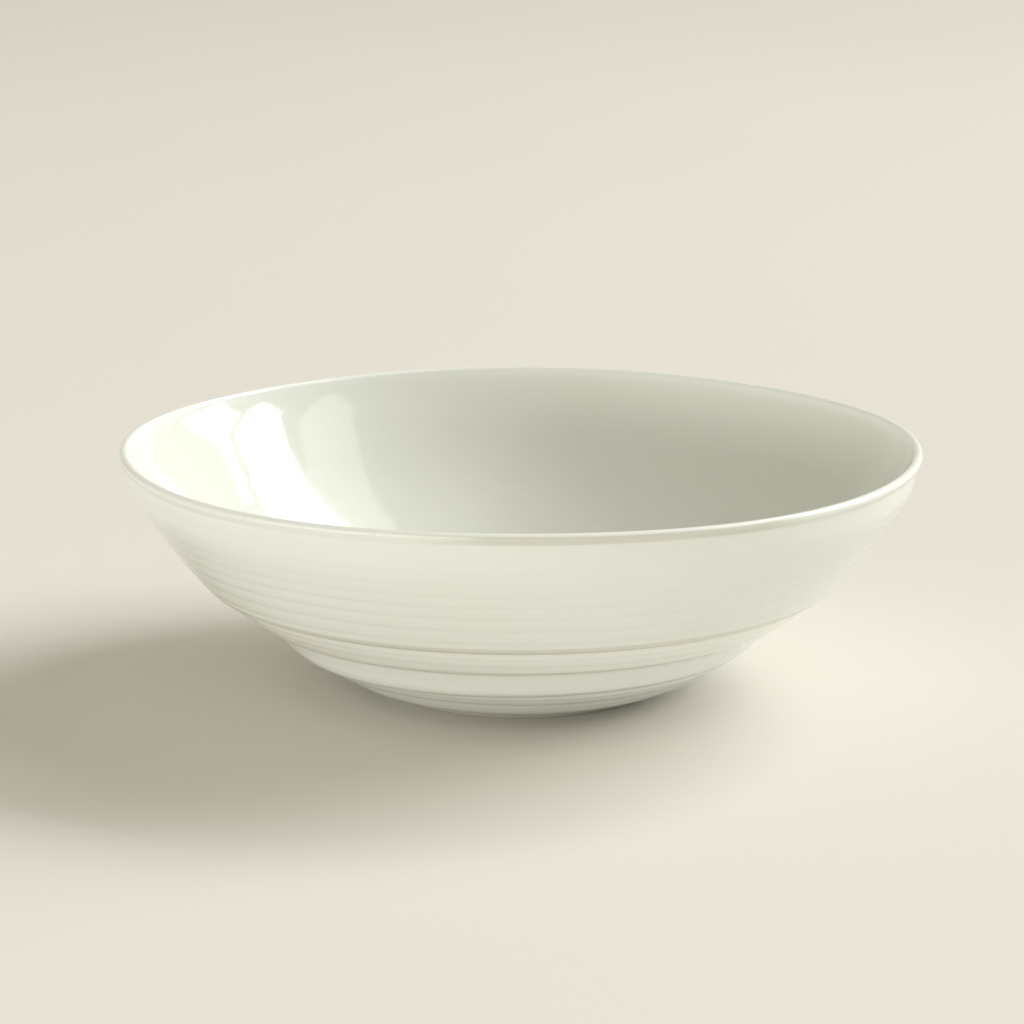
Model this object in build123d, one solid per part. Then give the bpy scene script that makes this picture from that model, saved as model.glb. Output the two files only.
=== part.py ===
"""Wheel-thrown porcelain serving bowl, in millimetres.

The origin is the centre of the foot's contact face, +Z is up and the bowl is turned about Z.
The clay is a thrown wall that stands on a luted foot ring. Three coats of glaze lie on the clay:
one lines the inside and rolls over the lip, one covers the outside down to the foot, and one
covers the well under the bowl. Only the foot's contact face stays bare.
"""

from build123d import *
import math
import os

# Driving dimensions
rim_radius = 110.0  # widest point of the glazed lip
height = 68.0  # contact face to the crest of the lip
lip_thickness = 2.5  # across the glazed lip
lip_lean = 12.0  # degrees from vertical of the inside at the lip
roll_lean = 32.0  # of the outside just under the lip, where it rolls under
wall_lean = 10.0  # of the outside below that
roll_length = 1.7  # from the lip's round edge down to the wall; the inner coat ends there
glaze = 0.3  # thickness of every coat

# Foot
joint_height = 5.5  # plane where the foot ring is luted to the wall
joint_radius = 50.6  # outside of that joint, under the glaze
joint_rise = 30.0  # degrees from horizontal of the outside there
contact_inside = 34.0
contact_outside = 38.4
foot_edge_radius = 39.4  # where the bare edge of the foot meets the outer coat
foot_edge_height = 0.9
foot_edge_rise = 26.0  # degrees from horizontal of the coat there
bare_edge_rise = 56.0  # of the foot's rounded bare edge there
well_radius = 32.2  # at the ceiling of the well
well_chamfer = 0.7
well_glaze_height = 1.4  # the well's coat is wiped back to this height
well_fillet = 1.2

# Inside
floor_height = 9.0  # top of the clay floor on the axis

# Throwing rings
fine_ring_pitch = 4.7  # along the wall
fine_ring_depth = 0.08
ledge_reach = 6.0  # how far a ledge's rise and fall are felt along the wall

SAMPLES_PER_RING = 10
RING_FADE = 12  # rings fade out over one part in this many, at each end of an outline

# Ledges left by the fingers low on the outside, as (height, depth, width): going down, the wall
# steps in at each one.
ledges = [
    (13.6, 0.7, 1.0),
    (22.4, 0.9, 1.1),
    (31.6, 1.1, 1.3),
]

# Outline of the clay outside above the joint, without its rings, as (radius, height)
outer_knots = [
    (56.2, 8.9),
    (62.2, 12.2),
    (70.6, 19.8),
    (77.0, 24.4),
    (84.2, 29.6),
    (94.9, 40.7),
    (103.0, 51.4),
    (107.8, 60.2),
]

# Outline of the clay inside, from the floor's edge up
inner_knots = [
    (24.0, 9.2),
    (40.0, 10.4),
    (54.4, 14.6),
    (67.6, 23.4),
    (80.8, 32.7),
    (92.2, 43.0),
    (100.6, 53.6),
    (105.9, 61.8),
]


def at(radius, z):
    """A point of the half section."""
    return Vector(radius, 0, z)


def heading(degrees):
    """A direction in the half section, in degrees above outward."""
    return Vector(math.cos(math.radians(degrees)), 0, math.sin(math.radians(degrees)))


lip_radius = lip_thickness / 2
lip_centre = at(rim_radius - lip_radius, height - lip_radius)
roll_outward = heading(-roll_lean)
lip_inward = heading(180 - lip_lean)


def lip_arc(radius):
    """Arc over the lip, from its outside to its inside."""
    return ThreePointArc(
        lip_centre + roll_outward * radius,
        lip_centre + heading((180 - lip_lean - roll_lean) / 2) * radius,
        lip_centre + lip_inward * radius,
    )


def right_of(curve, t):
    """Unit normal of a half section curve, on the right of its direction."""
    along = curve.tangent_at(t)
    return Vector(along.Z, 0, -along.X)


def ledge_rise(curve, t):
    """How far the ledges lift the wall off its smooth outline."""
    z = curve.position_at(t).Z
    slope = curve.tangent_at(t).Z
    rise = 0.0
    for ledge_height, depth, width in ledges:
        along = (z - ledge_height) / slope
        rise += depth / 2 * math.tanh(along / width) * math.exp(-abs(along) / ledge_reach)
    return rise


def raised(curve, lift, has_ledges=False, end=None):
    """A spline at `lift` to the right of `curve`, with rings that fade out at its ends.

    `end` takes the place of its last point.
    """
    count = round(curve.length / fine_ring_pitch * SAMPLES_PER_RING)
    points = []
    for i in range(count + 1):
        t = i / count
        fade = min(1.0, RING_FADE * t, RING_FADE * (1 - t))
        rise = fine_ring_depth * math.sin(2 * math.pi * t * curve.length / fine_ring_pitch)
        if has_ledges:
            rise += ledge_rise(curve, t)
        points.append(curve.position_at(t) + right_of(curve, t) * (lift + fade * rise))
    if end is not None:
        points[-1] = end
    return Spline(points, tangents=[curve.tangent_at(0), curve.tangent_at(1)])


def turned(*edges):
    """The solid of revolution of a closed half section."""
    return revolve(make_face(Wire(edges)), axis=Axis.Z)


clay_lip = lip_radius - glaze
joint = at(joint_radius, joint_height)
foot_edge = at(foot_edge_radius, foot_edge_height)
well_top = at(well_radius, joint_height)
well_edge = at(contact_inside - well_chamfer, well_chamfer)
well_up = (well_top - well_edge).normalized()

# Smooth outlines of the clay. Outside they run upwards, inside they run outwards and up.
lip_foot = lip_centre + roll_outward * clay_lip
seam = lip_foot - heading(90 - roll_lean) * roll_length
outer_smooth = Spline(
    [joint] + [at(*p) for p in outer_knots] + [seam],
    tangents=[heading(joint_rise), heading(90 - wall_lean)],
)
inner_smooth = Spline(
    [at(0, floor_height)] + [at(*p) for p in inner_knots] + [lip_centre + lip_inward * clay_lip],
    tangents=[heading(0), heading(90 - lip_lean)],
)

# Where the coats meet, on the bisector of the corner under the lip
corner = roll_lean - wall_lean
coat_seam = seam + heading(-(roll_lean + wall_lean) / 2) * (glaze / math.cos(math.radians(corner / 2)))

# The clay surfaces that the coats share with the wall and the foot ring
clay_foot = Spline([foot_edge, joint], tangents=[heading(foot_edge_rise), heading(joint_rise)])
clay_outside = raised(outer_smooth, 0, has_ledges=True)
clay_roll = Line(seam, lip_foot)
clay_lip_arc = lip_arc(clay_lip)
clay_inside = raised(inner_smooth, 0)

# The free surfaces of the coats
coat_foot = Spline(
    [p + right_of(clay_foot, t) * glaze for p, t in [(foot_edge, 0), (joint, 1)]],
    tangents=[heading(foot_edge_rise), heading(joint_rise)],
)
coat_outside = raised(outer_smooth, glaze, has_ledges=True, end=coat_seam)
coat_roll = Line(coat_seam, lip_centre + roll_outward * lip_radius)
coat_lip_arc = lip_arc(lip_radius)
coat_inside = raised(inner_smooth, -glaze)


def bowl_wall():
    """Thrown floor and wall, up to the round lip."""
    return turned(
        Line(at(0, floor_height), at(0, joint_height)),
        Line(at(0, joint_height), joint),
        clay_outside,
        clay_roll,
        clay_lip_arc,
        clay_inside,
    )


def foot_ring():
    """Ring luted under the wall. Its contact face is bare."""
    return turned(
        Line(at(contact_inside, 0), at(contact_outside, 0)),
        Spline(
            [at(contact_outside, 0), foot_edge],
            tangents=[heading(0), heading(bare_edge_rise)],
        ),
        clay_foot,
        Line(joint, well_top),
        Line(well_top, well_edge),
        Line(well_edge, at(contact_inside, 0)),
    )


def inner_glaze():
    """Coat poured inside. It rolls over the lip and ends where the wall begins outside."""
    return turned(
        Line(at(0, floor_height), at(0, floor_height + glaze)),
        coat_inside,
        coat_lip_arc,
        coat_roll,
        Line(coat_seam, seam),
        clay_roll,
        clay_lip_arc,
        clay_inside,
    )


def outer_glaze():
    """Coat dipped outside, from under the lip down to the foot's bare edge."""
    return turned(
        clay_foot,
        clay_outside,
        Line(seam, coat_seam),
        coat_outside,
        coat_foot,
        Line(coat_foot.position_at(0), foot_edge),
    )


def foot_well_glaze():
    """Coat brushed in the well under the bowl."""
    low = well_edge + well_up * ((well_glaze_height - well_edge.Z) / well_up.Z)
    inward = Vector(-well_up.Z, 0, well_up.X)
    ceiling = joint_height - glaze
    side_foot = low + inward * glaze
    side_top = side_foot + well_up * ((ceiling - well_fillet - side_foot.Z) / well_up.Z)
    ceiling_edge = at(side_top.X - well_fillet, ceiling)
    return turned(
        Line(at(0, joint_height), well_top),
        Line(well_top, low),
        Line(low, side_foot),
        Line(side_foot, side_top),
        Spline([side_top, ceiling_edge], tangents=[well_up, heading(180)]),
        Line(ceiling_edge, at(0, ceiling)),
        Line(at(0, ceiling), at(0, joint_height)),
    )


os.makedirs("parts", exist_ok=True)
for make in (bowl_wall, foot_ring, inner_glaze, outer_glaze, foot_well_glaze):
    export_step(make(), f"parts/{make.__name__}.step")
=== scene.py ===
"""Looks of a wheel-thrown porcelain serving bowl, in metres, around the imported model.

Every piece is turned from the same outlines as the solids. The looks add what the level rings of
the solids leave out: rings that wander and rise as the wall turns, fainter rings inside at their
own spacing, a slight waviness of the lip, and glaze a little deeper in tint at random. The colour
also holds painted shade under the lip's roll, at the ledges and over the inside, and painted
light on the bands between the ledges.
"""

import math

import bpy
import numpy as np
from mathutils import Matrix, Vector


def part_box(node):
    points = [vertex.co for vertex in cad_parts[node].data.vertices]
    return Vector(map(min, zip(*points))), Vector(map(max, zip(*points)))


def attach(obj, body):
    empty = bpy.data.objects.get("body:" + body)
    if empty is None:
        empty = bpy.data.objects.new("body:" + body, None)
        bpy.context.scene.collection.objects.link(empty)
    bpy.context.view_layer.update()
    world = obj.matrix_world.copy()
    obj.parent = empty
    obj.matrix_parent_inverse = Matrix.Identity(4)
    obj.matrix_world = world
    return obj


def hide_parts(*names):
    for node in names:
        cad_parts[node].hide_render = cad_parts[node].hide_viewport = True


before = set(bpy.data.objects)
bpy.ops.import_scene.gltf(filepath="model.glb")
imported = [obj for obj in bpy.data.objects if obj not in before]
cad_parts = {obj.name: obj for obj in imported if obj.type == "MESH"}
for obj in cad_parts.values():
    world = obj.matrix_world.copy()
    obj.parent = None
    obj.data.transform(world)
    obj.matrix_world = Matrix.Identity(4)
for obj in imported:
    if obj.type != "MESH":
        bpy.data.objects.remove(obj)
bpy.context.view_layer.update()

MM = 0.001

# Sizes read from the frame
rim_radius = (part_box("inner_glaze")[1].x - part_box("inner_glaze")[0].x) / 2
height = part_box("inner_glaze")[1].z
joint_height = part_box("foot_ring")[1].z
joint_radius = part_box("foot_ring")[1].x

# Sizes repeated from the solids
lip_radius = 1.25 * MM
lip_lean = 12.0
roll_lean = 32.0
wall_lean = 10.0
roll_length = 1.7 * MM
glaze = 0.3 * MM
joint_rise = 30.0
contact_inside = 34.0 * MM
contact_outside = 38.4 * MM
foot_edge = (39.4 * MM, 0.9 * MM)
foot_edge_rise = 26.0
well_radius = 32.2 * MM
well_chamfer = 0.7 * MM
well_glaze_height = 1.4 * MM
well_fillet = 1.2 * MM
floor_height = 9.0 * MM
fine_ring_pitch = 4.7 * MM
ledge_reach = 6.0 * MM

# Ledges: height, depth, width, and how far each climbs from the left side to the right, halved
ledges = [
    (13.6 * MM, 0.7 * MM, 1.0 * MM, 1.6 * MM),
    (22.4 * MM, 0.9 * MM, 1.1 * MM, 1.4 * MM),
    (31.6 * MM, 1.1 * MM, 1.3 * MM, 0.3 * MM),
]

outer_knots = [
    (56.2, 8.9),
    (62.2, 12.2),
    (70.6, 19.8),
    (77.0, 24.4),
    (84.2, 29.6),
    (94.9, 40.7),
    (103.0, 51.4),
    (107.8, 60.2),
]

inner_knots = [
    (24.0, 9.2),
    (40.0, 10.4),
    (54.4, 14.6),
    (67.6, 23.4),
    (80.8, 32.7),
    (92.2, 43.0),
    (100.6, 53.6),
    (105.9, 61.8),
]

# Looks only
turns = 360  # divisions around the bowl
ring_fade = 12  # rings fade out over one part in this many, at each end of an outline
same_place = 1e-9  # places closer than this are one place
sharp_angle = 40  # degrees; an edge that turns more than this is shaded as sharp
fine_outside = 0.055 * MM  # height of the fine rings
fine_inside = 0.010 * MM
fine_inside_pitch = 3.1 * MM
broad_inside = 0.020 * MM
broad_inside_pitch = 7.3 * MM
ovality = 0.25 * MM  # how far the lip is out of round

# Painted shade in a line at each ledge, for the darker reflection in its down-facing step: from and
# to along the wall, and how dark
ledge_shade_lines = [
    (-0.8 * MM, 0.9 * MM, 0.5),
    (-0.8 * MM, 1.5 * MM, 0.65),
    (-1.1 * MM, 2.0 * MM, 0.8),
]

swell = 0.4 * MM  # how far the wall stands out under the lip on the side without a roll
swell_start = 58.0 * MM  # height where it starts

# Painted shade under the roll of the lip, for the darker reflection there: azimuths from and to, and
# depths below the crest
roll_shade_azimuths = (-94, -56)
roll_shade_depths = (2.7 * MM, 0.7 * MM)
roll_shade_fade = 12  # degrees over which it fades out at both sides
painted_shade_softness = 0.3 * MM  # over which it and the lines at the ledges fade out across the wall

# Painted light: heights between which the outside is painted lighter, and depth below the crest
# where the inside's painted shade starts to lift, each with the length over which it fades
painted_light_band = (15 * MM, 30 * MM)
painted_light_band_softness = 1.5 * MM
inner_shade_lift_depth = 3.5 * MM
inner_shade_lift_softness = 2 * MM

back_rise = 0.5 * MM  # the lip stands this much higher at the back, and lower at the front
lip_wave = 0.35 * MM  # height of its four slow waves


# ---------------------------------------------------------------- half sections


def heading(degrees):
    """A unit direction in the half section, in degrees above outward."""
    return np.array([math.cos(math.radians(degrees)), math.sin(math.radians(degrees))])


class Curve:
    """A smooth curve through knots of the half section, with evenly spaced samples."""

    FINE = 4000

    def __init__(self, knots, start, end):
        points = np.array(knots, float)
        spans = np.hypot(*np.diff(points, axis=0).T)
        slopes = self._slopes(points, spans, start, end)
        places = np.r_[0, np.cumsum(spans)]
        at = np.linspace(0, places[-1], self.FINE)
        k = np.clip(np.searchsorted(places, at, side="right") - 1, 0, len(spans) - 1)
        u = ((at - places[k]) / spans[k])[:, None]
        span = spans[k][:, None]
        self.points = (
            (1 + 2 * u) * (1 - u) ** 2 * points[k]
            + u * (1 - u) ** 2 * span * slopes[k]
            + u**2 * (3 - 2 * u) * points[k + 1]
            + u**2 * (u - 1) * span * slopes[k + 1]
        )
        steps = np.hypot(*np.diff(self.points, axis=0).T)
        self.along = np.r_[0, np.cumsum(steps)]
        self.length = self.along[-1]
        along = np.gradient(self.points, self.along, axis=0)
        along /= np.hypot(*along.T)[:, None]
        self.right = np.stack([along[:, 1], -along[:, 0]], 1)

    @staticmethod
    def _slopes(points, spans, start, end):
        """Slopes at the knots that keep the curvature continuous."""
        n = len(points)
        system = np.zeros((n, n))
        target = np.zeros((n, 2))
        system[0, 0] = system[-1, -1] = 1
        target[0], target[-1] = start, end
        for i in range(1, n - 1):
            a, b = spans[i - 1], spans[i]
            system[i, i - 1 : i + 2] = b, 2 * (a + b), a
            target[i] = 3 * (
                b / a * (points[i] - points[i - 1]) + a / b * (points[i + 1] - points[i])
            )
        return np.linalg.solve(system, target)

    def sample(self, count):
        """Distance along, places and right-hand normals of evenly spaced samples."""
        at = np.linspace(0, self.length, count)
        points = np.stack([np.interp(at, self.along, c) for c in self.points.T], 1)
        right = np.stack([np.interp(at, self.along, c) for c in self.right.T], 1)
        return at, points, right


clay_lip = lip_radius - glaze
lip_centre = np.array([rim_radius - lip_radius, height - lip_radius])
roll_outward = heading(-roll_lean)
lip_inward = heading(180 - lip_lean)
lip_foot = lip_centre + roll_outward * clay_lip
seam = lip_foot - heading(90 - roll_lean) * roll_length
joint = np.array([joint_radius, joint_height])

outer_line = Curve(
    [joint] + [np.array(k) * MM for k in outer_knots] + [seam],
    heading(joint_rise),
    heading(90 - wall_lean),
)
inner_line = Curve(
    [(0, floor_height)]
    + [np.array(k) * MM for k in inner_knots]
    + [lip_centre + lip_inward * clay_lip],
    heading(0),
    heading(90 - lip_lean),
)
foot_line = Curve([foot_edge, joint], heading(foot_edge_rise), heading(joint_rise))

theta = np.arange(turns) * 2 * math.pi / turns


# ---------------------------------------------------------------- thrown surfaces


def wander(angle, seed):
    """A slow random-looking wave around the bowl, between about -1 and 1."""
    return (
        0.5 * np.sin(angle + 2.1 * seed)
        + 0.3 * np.sin(2 * angle + 3.7 * seed)
        + 0.2 * np.sin(3 * angle + 5.3 * seed)
    )


def rings(at, angle, pitch, seed):
    """Uneven throwing rings, one of them a turn of a spiral after the other."""
    stray = 0.9 * MM * np.sin(at / (6.1 * MM) + seed) + 0.5 * MM * wander(angle, seed)
    phase = 2 * math.pi * (at + stray) / pitch - angle
    strength = 0.65 + 0.35 * np.sin(at / (9.3 * MM) + 1.7 * seed + wander(angle, seed + 1))
    return strength * (np.sin(phase) + 0.35 * np.sin(2 * phase + 0.9))


def ledge_rise(heights, slopes, angle):
    """The ledges, each climbing a little to the right."""
    rise = 0
    for ledge_height, depth, width, climb in ledges:
        along = (heights - ledge_height) / slopes - climb * np.cos(angle)
        rise = rise + depth / 2 * np.tanh(along / width) * np.exp(-np.abs(along) / ledge_reach)
    return rise


def fading(share):
    """From 0 at both ends of a curve to 1 on the rest."""
    return np.clip(np.minimum(ring_fade * share, ring_fade * (1 - share)), 0, 1)


def seam_at(lift):
    """The corner under the lip, where the coats meet, for a surface at `lift` off the clay."""
    half = math.radians(roll_lean - wall_lean) / 2
    return seam + heading(-(roll_lean + wall_lean) / 2) * lift / math.cos(half)


def outside(count, lift):
    """Rows of places on the thrown outside, from the joint up to the seam under the lip."""
    at, points, right = outer_line.sample(count)
    at = at[:, None]
    fade = fading(at / outer_line.length)
    rise = fine_outside * rings(at, theta, fine_ring_pitch, 1.0)
    rise = rise + ledge_rise(points[:, 1:], right[:, :1], theta)
    rows = offset(points, right, lift + fade * rise)
    rows[-1] = seam_at(lift)
    return swollen(rows)


def swollen(rows):
    """Fill the roll under the lip on the left side of the bowl, where the lip is plain."""
    share = np.clip((rows[..., 1] - swell_start) / (lip_foot[1] - swell_start), 0, 1)
    plain = np.clip(0.5 - 1.6 * np.cos(theta - 0.05), 0, 1)  # 1 on the left, 0 on the right
    hump = 9.5 * share**3 * (1 - share)  # about 1 at its highest, at three quarters of the way
    rows[..., 0] += swell * plain * hump
    return rows


def inside(count, lift):
    """Rows of places on the thrown inside, from the axis out to the lip."""
    at, points, right = inner_line.sample(count)
    at = at[:, None]
    rise = fine_inside * rings(at, theta, fine_inside_pitch, 2.0)
    rise = rise + broad_inside * rings(at, theta, broad_inside_pitch, 3.0)
    return offset(points, right, lift + fading(at / inner_line.length) * rise)


def offset(points, right, rise):
    """Places raised by `rise` to the right of a curve."""
    rise = np.broadcast_to(rise, (len(points), turns))
    return points[:, None, :] + right[:, None, :] * rise[:, :, None]


def level(points):
    """Rows of places that are the same all around."""
    return np.repeat(np.array(points, float)[:, None, :], turns, axis=1)


def foot_side(count, lift):
    """Rows of places on the outside of the foot, from its edge up to the joint."""
    at, points, right = foot_line.sample(count)
    return offset(points, right, lift)


def lip_arc(count, radius):
    """Rows of places over the lip, from its outside to its inside."""
    angles = np.linspace(-roll_lean, 180 - lip_lean, count)
    return level([lip_centre + heading(a) * radius for a in angles])


def roll(count, radius):
    """Rows of places on the outside that rolls under the lip, from the seam up to the lip."""
    low = seam_at(radius - clay_lip)
    high = lip_centre + roll_outward * radius
    bend = Curve([low, high], heading(90 - wall_lean), heading(90 - roll_lean))
    return swollen(level(bend.sample(count)[1]))


def warp(rows):
    """Turn half section rows into places, with the slight waviness of a thrown bowl."""
    r, z = rows[..., 0], rows[..., 1]
    share = (z / height) ** 2
    r = r + ovality * share * (0.8 * np.cos(2 * theta + 1.1) + 0.3 * np.cos(3 * theta + 2.0))
    z = z + share * (back_rise * np.sin(theta) + lip_wave * np.cos(4 * theta))
    return np.stack([r * np.cos(theta), r * np.sin(theta), z], -1)


# ---------------------------------------------------------------- pieces


def outline(*sections):
    """Join sections end to end. The solid lies on the right of the outline."""
    rows = [sections[0]]
    for section in sections[1:]:
        meets = np.abs(rows[-1][-1] - section[0]).max() < same_place
        rows.append(section[1:] if meets else section)
    return np.concatenate(rows)


def turned(name, rows, material, node, tone=None):
    """A closed mesh turned from an outline that either closes or starts and ends on the axis.

    The last argument gives the painted shade (above 0) and painted light (below 0) at each place, for
    the material.
    """
    poles = []
    if abs(rows[0, 0, 0]) < same_place:
        poles = [(0, 0, rows[0, 0, 1]), (0, 0, rows[-1, 0, 1])]
        rows = rows[1:-1]
    count = len(rows)
    grid = np.arange(count * turns).reshape(count, turns)
    beside = np.roll(grid, -1, axis=1)
    onward, onward_beside = np.roll(grid, -1, axis=0), np.roll(beside, -1, axis=0)
    faces = np.stack([grid, onward, onward_beside, beside], -1)
    if poles:
        faces = faces[:-1]
    faces = faces.reshape(-1, 4).tolist()
    if poles:
        start, end = count * turns, count * turns + 1
        faces += [[start, a, b] for a, b in zip(grid[0].tolist(), beside[0].tolist())]
        faces += [[end, b, a] for a, b in zip(grid[-1].tolist(), beside[-1].tolist())]
    mesh = bpy.data.meshes.new(name)
    mesh.from_pydata(warp(rows).reshape(-1, 3).tolist() + poles, [], faces)
    if tone:
        values = np.r_[tone(rows).ravel(), np.zeros(len(poles))]
        mesh.attributes.new("tone", "FLOAT", "POINT").data.foreach_set("value", values)
    mesh.shade_smooth()
    mesh.set_sharp_from_angle(angle=math.radians(sharp_angle))
    mesh.materials.append(material)
    piece = bpy.data.objects.new(name, mesh)
    bpy.context.scene.collection.objects.link(piece)
    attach(piece, "root")
    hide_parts(node)
    return piece


def between(value, low, high, soft):
    """1 from low to high, fading to 0 over `soft` on both sides."""
    return np.clip(np.minimum(value - low, high - value) / soft + 1, 0, 1)


def roll_shade_mask(rows):
    """Painted shade mask: 1 under the roll of the lip, on the front of the bowl."""
    r, z = rows[..., 0], rows[..., 1]
    azimuth = np.degrees(np.angle(np.exp(1j * theta)))
    front = between(azimuth, *roll_shade_azimuths, roll_shade_fade)
    outer = r > lip_centre[0]
    low, high = (height - depth for depth in roll_shade_depths)
    return front * outer * between(z, low, high, painted_shade_softness)


def outside_painted_shading(rows):
    """Painted shade under the roll and at the ledges, painted light on the bands between the ledges.
    """
    z = rows[..., 1]
    slope = np.interp(z, outer_line.points[:, 1], outer_line.right[:, 0])
    tone = -between(z, *painted_light_band, painted_light_band_softness)
    for (ledge_height, _, _, climb), (low, high, depth) in zip(ledges, ledge_shade_lines):
        along = (z - ledge_height) / slope - climb * np.cos(theta)
        near = between(along, low, high, painted_shade_softness)
        tone = tone * (1 - near) + near * depth
    deep = roll_shade_mask(rows)
    return deep + tone * (1 - deep)


def inside_painted_shading(rows):
    """Painted shade under the roll, and painted light near the lip, where the inside's darker colour
    lifts to the outside's white.
    """
    deep = roll_shade_mask(rows)
    painted_bright = np.clip((rows[..., 1] - height + inner_shade_lift_depth) / inner_shade_lift_softness, 0, 1)
    return deep - painted_bright * (1 - deep)


def back(rows):
    """The same rows in the other direction."""
    return rows[::-1]


# ---------------------------------------------------------------- materials


class Nodes:
    """A short way to wire up one material."""

    def __init__(self, name):
        self.material = bpy.data.materials.new(name)
        self.material.use_nodes = True
        self.tree = self.material.node_tree
        self.tree.nodes.clear()
        self.shader = self.add("ShaderNodeBsdfPrincipled")
        out = self.add("ShaderNodeOutputMaterial")
        self.link(self.shader.outputs["BSDF"], out.inputs["Surface"])
        self.where = self.add("ShaderNodeTexCoord").outputs["Object"]

    def add(self, kind, **settings):
        node = self.tree.nodes.new(kind)
        for key, value in settings.items():
            if key in node.inputs:
                node.inputs[key].default_value = value
            else:
                setattr(node, key, value)
        return node

    def link(self, source, target):
        self.tree.links.new(source, target)

    def noise(self, scale, detail=2.0, stretch=(1, 1, 1)):
        """Noise over the object's own space; `stretch` above 1 packs it closer on that axis."""
        spread = self.add("ShaderNodeMapping")
        spread.inputs["Scale"].default_value = stretch
        self.link(self.where, spread.inputs["Vector"])
        noise = self.add("ShaderNodeTexNoise", Scale=scale, Detail=detail)
        self.link(spread.outputs["Vector"], noise.inputs["Vector"])
        return noise.outputs["Fac"]

    def ramp(self, source, low, high, start, end):
        """Map a grey from low..high to start..end."""
        node = self.add("ShaderNodeMapRange")
        for key, value in {"From Min": low, "From Max": high, "To Min": start, "To Max": end}.items():
            node.inputs[key].default_value = value
        self.link(source, node.inputs["Value"])
        return node.outputs["Result"]

    def blend(self, factor, low, high):
        """A colour between two. Each is a colour or a link."""
        node = self.add("ShaderNodeMix", data_type="RGBA")
        sockets = {socket.identifier: socket for socket in node.inputs}
        self.link(factor, sockets["Factor_Float"])
        for value, key in ((low, "A_Color"), (high, "B_Color")):
            if isinstance(value, tuple):
                sockets[key].default_value = (*value, 1)
            else:
                self.link(value, sockets[key])
        results = {socket.identifier: socket for socket in node.outputs}
        return results["Result_Color"]

    def tone(self):
        """How far a vertex is painted darker, up to 1, painted shade, and lighter, down to -1,
        painted light.
        """
        return self.add("ShaderNodeAttribute", attribute_name="tone").outputs["Fac"]

    def bump(self, source, distance, strength, below=None):
        node = self.add("ShaderNodeBump", Distance=distance, Strength=strength)
        self.link(source, node.inputs["Height"])
        if below is not None:
            self.link(below, node.inputs["Normal"])
        return node.outputs["Normal"]

    def feed(self, socket, value):
        """Give a shader socket a constant or a link."""
        if isinstance(value, (float, int, tuple)):
            self.shader.inputs[socket].default_value = value
        else:
            self.link(value, self.shader.inputs[socket])


def glazed(name, body, pooled, deep=None, painted_bright=None):
    """Clear glossy glaze over white porcelain, a little deeper in tint at random where it pools.

    The last two colours, where given, are painted shade under a ledge or the lip, and painted light
    on the bands between the ledges or near the inner lip.
    """
    m = Nodes(name)
    cloud = m.noise(14.0, detail=3.0)
    colour = m.blend(m.ramp(cloud, 0.35, 0.65, 0, 1), pooled, body)
    if deep:
        # Painted light where the vertex attribute is below 0, painted shade where it is above 0.
        colour = m.blend(m.ramp(m.tone(), 0.0, -1.0, 0.0, 1.0), colour, painted_bright)
        colour = m.blend(m.ramp(m.tone(), 0.0, 1.0, 0.0, 1.0), colour, deep)
    m.feed("Base Color", colour)
    m.feed("Roughness", m.ramp(m.noise(60.0), 0.3, 0.7, 0.06, 0.11))
    m.feed("IOR", 1.52)
    lines = m.noise(160.0, detail=2.0, stretch=(0.03, 0.03, 6.0))
    skin = m.noise(420.0, detail=1.0)
    m.feed("Normal", m.bump(skin, 0.00003, 0.5, m.bump(lines, 0.00004, 0.5)))
    return m.material


def biscuit(name):
    """Bare vitrified porcelain: white, fine-grained and matte."""
    m = Nodes(name)
    grain = m.noise(90.0, detail=4.0)
    m.feed("Base Color", m.blend(grain, (0.66, 0.63, 0.56), (0.76, 0.74, 0.68)))
    m.feed("Roughness", m.ramp(m.noise(300.0), 0.3, 0.7, 0.62, 0.8))
    m.feed("Normal", m.bump(m.noise(2600.0, detail=3.0), 0.00005, 0.6))
    return m.material


white_body = (0.85, 0.87, 0.835)
pooled_body = (0.82, 0.84, 0.795)
# Painted shade colour, laid under the ledges and the lip's roll in place of the darker reflection
# there.
deep_body = (0.70, 0.70, 0.635)
# Painted light colour, laid on the band between the lower ledges outside.
painted_light_colour = (0.92, 0.935, 0.905)
# The inside is given a darker colour than the outside as painted shade over the inside of the bowl;
# near the lip it lifts back to the outside's white.
inner_body_with_painted_shade = (0.82, 0.84, 0.785)
inner_pooled_body_with_painted_shade = (0.795, 0.815, 0.75)
well_body = (0.78, 0.78, 0.72)
well_pooled_body = (0.75, 0.755, 0.69)
inner_material = glazed("glaze_inside", inner_body_with_painted_shade, inner_pooled_body_with_painted_shade, deep_body, white_body)
outer_material = glazed("glaze_outside", white_body, pooled_body, deep_body, painted_light_colour)
well_material = glazed("glaze_under_foot", well_body, well_pooled_body)
clay_material = biscuit("biscuit_porcelain")


# ---------------------------------------------------------------- the bowl

inside_rows = 200
outside_rows = 220
hidden_inside_rows = 40
hidden_outside_rows = 80
lip_rows = 16
tuck = 0.02 * MM  # keeps the clay just under its coats

well_top = np.array([well_radius, joint_height])
well_edge = np.array([contact_inside - well_chamfer, well_chamfer])


def make_wall():
    rows = outline(
        inside(hidden_inside_rows, tuck),
        back(lip_arc(lip_rows, clay_lip - tuck)),
        back(roll(3, clay_lip - tuck)),
        back(outside(hidden_outside_rows, -tuck)),
        level([joint, (0, joint_height)]),
    )
    turned("thrown_wall", rows, clay_material, "bowl_wall")


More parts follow.
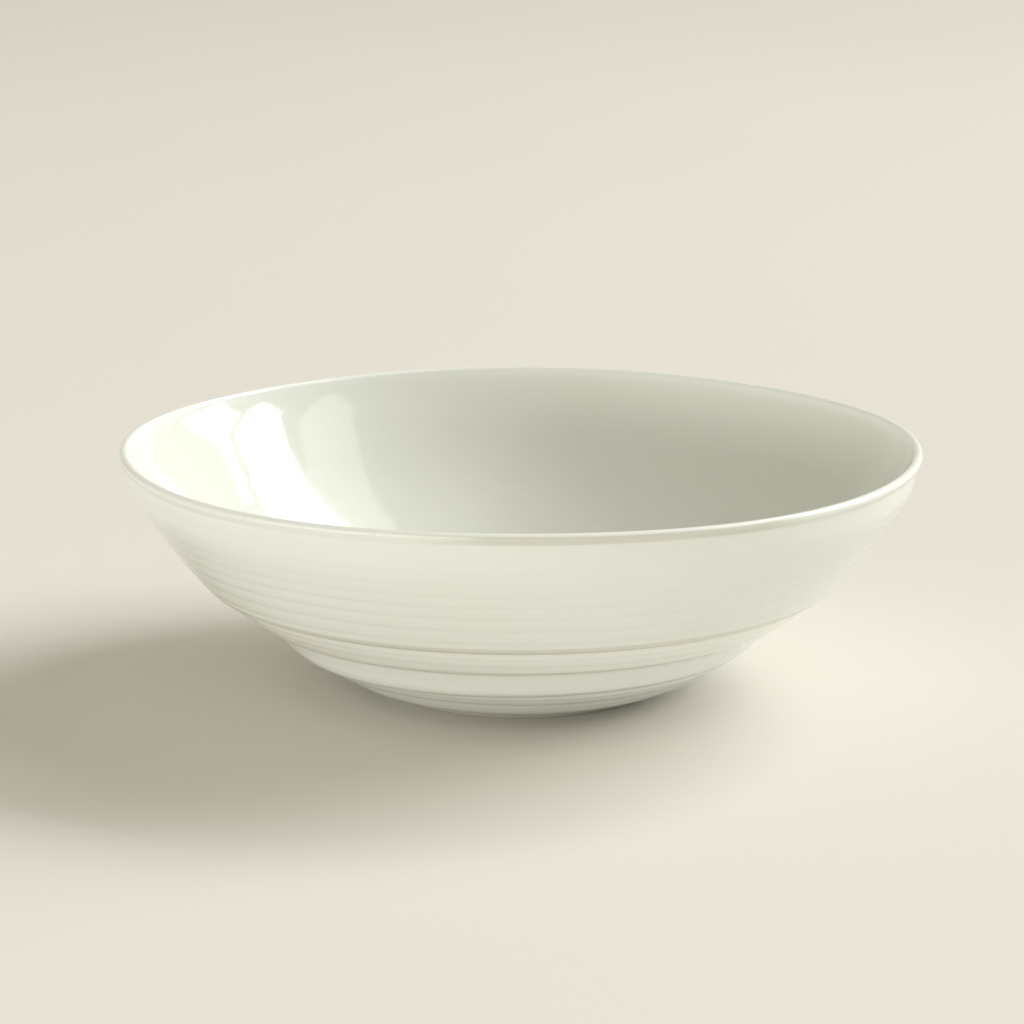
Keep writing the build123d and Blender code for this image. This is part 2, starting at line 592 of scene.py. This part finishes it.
def make_foot():
    rounding, rounding_lift = 0.3 * MM, 0.03 * MM
    rows = outline(
        back(foot_side(8, -tuck)),
        level(
            [
                foot_edge,
                (contact_outside + 0.55 * (foot_edge[0] - contact_outside), 0.35 * foot_edge[1]),
                (contact_outside, rounding_lift),
                (contact_outside - rounding, 0),
                (contact_inside + rounding, 0),
                (contact_inside, rounding_lift),
                well_edge,
                well_top,
            ]
        ),
    )
    turned("foot_ring_turned", rows, clay_material, "foot_ring")


def make_inner_coat():
    rows = outline(
        inside(inside_rows, -glaze),
        back(lip_arc(lip_rows, lip_radius)),
        back(roll(8, lip_radius)),
        roll(2, clay_lip),
        lip_arc(lip_rows // 2, clay_lip),
        back(inside(hidden_inside_rows, 0)),
    )
    turned("inner_coat", rows, inner_material, "inner_glaze", inside_painted_shading)


def make_outer_coat():
    rows = outline(
        back(outside(outside_rows, glaze)),
        back(foot_side(10, glaze)),
        foot_side(5, 0),
        outside(hidden_outside_rows, 0),
    )
    turned("outer_coat", rows, outer_material, "outer_glaze", outside_painted_shading)


def make_well_coat():
    up = (well_top - well_edge) / np.hypot(*(well_top - well_edge))
    inward = np.array([-up[1], up[0]])
    ceiling = joint_height - glaze
    low = well_edge + up * ((well_glaze_height - well_edge[1]) / up[1])
    side_foot = low + inward * glaze
    side_top = side_foot + up * ((ceiling - well_fillet - side_foot[1]) / up[1])
    ceiling_edge = np.array([side_top[0] - well_fillet, ceiling])
    fillet = Curve([side_top, ceiling_edge], up, np.array([-1, 0])).sample(9)[1]
    steps = 12
    ceiling_rows = [(ceiling_edge[0] * (1 - i / steps), ceiling) for i in range(steps + 1)]
    rows = outline(
        level([(0, joint_height), well_top, low, side_foot]), level(fillet), level(ceiling_rows)
    )
    turned("well_coat", rows, well_material, "foot_well_glaze")


make_wall()
make_foot()
make_inner_coat()
make_outer_coat()
make_well_coat()


# ---------------------------------------------------------------- stage, light and camera


def make_stage():
    """A pale seamless floor that curves up into a backdrop."""
    m = Nodes("paper")
    cloud = m.ramp(m.noise(0.9), 0.3, 0.7, 0, 1)
    m.feed("Base Color", m.blend(cloud, (0.76, 0.735, 0.685), (0.78, 0.755, 0.705)))
    m.feed("Roughness", 0.9)
    m.feed("Specular IOR Level", 0.1)
    half_width, front, start, bend, top = 5.0, -3.0, 2.2, 1.6, 2.6
    side = [(front, 0.0), (start, 0.0)]
    bend_steps = 24
    for i in range(1, bend_steps + 1):
        angle = i / bend_steps * math.pi / 2
        side.append((start + bend * math.sin(angle), bend * (1 - math.cos(angle))))
    side.append((start + bend, top))
    places = [(x, y, z) for y, z in side for x in (-half_width, half_width)]
    faces = [(2 * i, 2 * i + 1, 2 * i + 3, 2 * i + 2) for i in range(len(side) - 1)]
    mesh = bpy.data.meshes.new("sweep")
    mesh.from_pydata(places, [], faces)
    mesh.shade_smooth()
    mesh.materials.append(m.material)
    sweep = bpy.data.objects.new("sweep", mesh)
    bpy.context.scene.collection.objects.link(sweep)


def make_panel(name, facing, distance, azimuths, heights, brightness, colour):
    """An upright rectangular light in the plane that faces the bowl from azimuth `facing`.

    `azimuths` are its sides, seen from the bowl, and `heights` its edges over the distance.
    """
    side = [distance * math.tan(math.radians(azimuth - facing)) for azimuth in azimuths]
    low, high = (distance * height for height in heights)
    light = bpy.data.lights.new(name, "AREA")
    light.shape = "RECTANGLE"
    light.size = side[1] - side[0]
    light.size_y = high - low
    light.energy = brightness * math.pi * light.size * light.size_y  # as bright at any size
    light.color = colour
    lamp = bpy.data.objects.new(name, light)
    a = math.radians(facing)
    out = Vector((math.cos(a), math.sin(a), 0))
    sideways = Vector((-math.sin(a), math.cos(a), 0))
    lamp.location = out * distance + sideways * sum(side) / 2 + Vector((0, 0, (low + high) / 2))
    lamp.rotation_euler = out.to_track_quat("Z", "Y").to_euler()
    bpy.context.scene.collection.objects.link(lamp)


def make_light():
    daylight = (0.98, 1.0, 1.0)
    make_panel("window_upper", 60, 5.0, (0, 52), (0.75, 1.33), 9.6, daylight)
    make_panel("window_lower", 60, 5.0, (14, 36), (0.2, 0.68), 6.5, daylight)
    make_panel("window_strip", 60, 5.0, (36, 49), (0.61, 0.68), 8.0, daylight)
    make_panel("wall_above_window", 35, 5.0, (-25, 50), (1.1, 1.95), 1.8, (1.0, 0.99, 0.95))
    make_panel("front_fill", -135, 2.3, (-169, -101), (0.003, 0.125), 9.5, (1.0, 0.985, 0.93))
    world = bpy.data.worlds.new("room")
    world.use_nodes = True
    world.node_tree.nodes["Background"].inputs["Color"].default_value = (1.0, 0.95, 0.81, 1)
    world.node_tree.nodes["Background"].inputs["Strength"].default_value = 0.47
    bpy.context.scene.world = world


def make_camera():
    """The rim is seen from 12 degrees above it, right of centre and high in the frame."""
    distance, elevation = 8 * rim_radius, math.radians(11.89)
    half_frame = 1.285 / 8  # tangent of half the field of view: 1.285 rim radii at the rim's centre
    right_of_centre, above_centre = 0.0174 * half_frame, 0.1385 * half_frame
    camera = bpy.data.cameras.new("camera")
    camera.sensor_width = 36
    camera.lens = 18 / half_frame
    camera.dof.use_dof = False
    eye = bpy.data.objects.new("camera", camera)
    eye.location = (0, -distance * math.cos(elevation), height + distance * math.sin(elevation))
    tilt = elevation + math.atan(above_centre)
    eye.rotation_euler = (math.pi / 2 - tilt, 0, math.atan(right_of_centre))
    bpy.context.scene.collection.objects.link(eye)
    bpy.context.scene.camera = eye


make_stage()
make_light()
make_camera()
bpy.context.scene.view_settings.view_transform = "Standard"
